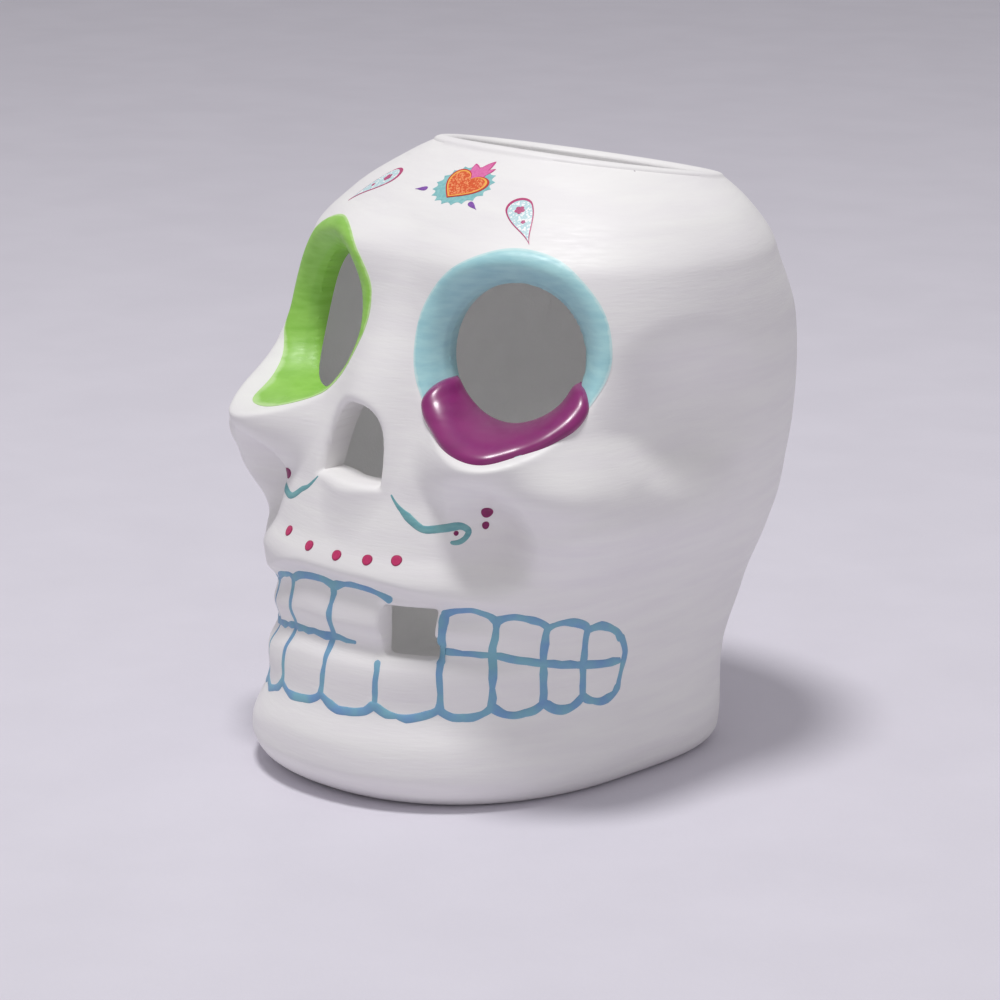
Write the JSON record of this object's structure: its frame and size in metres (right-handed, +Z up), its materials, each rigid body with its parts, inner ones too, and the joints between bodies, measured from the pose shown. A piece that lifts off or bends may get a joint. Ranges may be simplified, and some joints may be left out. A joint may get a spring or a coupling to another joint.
{
  "type": "sugar skull holder",
  "caption": "Hollow painted ceramic sugar skull with an open sloping top, open eyes, nose and tooth gap, for a candle or small plant pot.",
  "frame": {"origin": "on the flat underside, on the skull's middle line", "axes": "+Z up, the face looks towards -Y, the skull's own left is +X"},
  "size_m": [0.1258, 0.1435, 0.1514],
  "materials": {
    "glazed_body": "brushed white satin glaze",
    "teal_paint": "thin brushed paint",
    "green_paint": "thin brushed paint",
    "plum_enamel": "thick glossy enamel",
    "blue_line": "raised slip line, satin",
    "teal_line": "raised slip line, satin",
    "pink_dot": "raised dot, satin",
    "magenta_dot": "raised dot, satin",
    "orange_transfer": "printed transfer, satin",
    "pale_teal_transfer": "printed transfer, satin",
    "pink_transfer": "printed transfer, satin",
    "violet_transfer": "printed transfer, satin",
    "glitter_transfer": "printed transfer with fine glitter"
  },
  "bodies": {
    "root": {"skull_shell": "glazed_body", "left_socket_coat": "teal_paint", "right_socket_coat": "green_paint", "left_socket_enamel": "plum_enamel", "tooth_outline": "blue_line", "left_curl": "teal_line", "right_curl": "teal_line", "lip_dot_1": "pink_dot", "lip_dot_2": "pink_dot", "lip_dot_3": "pink_dot", "lip_dot_4": "pink_dot", "lip_dot_5": "pink_dot", "left_cheek_dot_large": "magenta_dot", "left_cheek_dot_small": "magenta_dot", "right_cheek_dot_large": "magenta_dot", "right_cheek_dot_small": "magenta_dot", "left_curl_dot": "magenta_dot", "right_curl_dot": "magenta_dot", "heart_body": "orange_transfer", "heart_frill": "pale_teal_transfer", "heart_flames": "pink_transfer", "spark_right": "violet_transfer", "spark_left": "violet_transfer", "left_drop": "glitter_transfer", "right_drop": "glitter_transfer"}
  },
  "joints": []
}
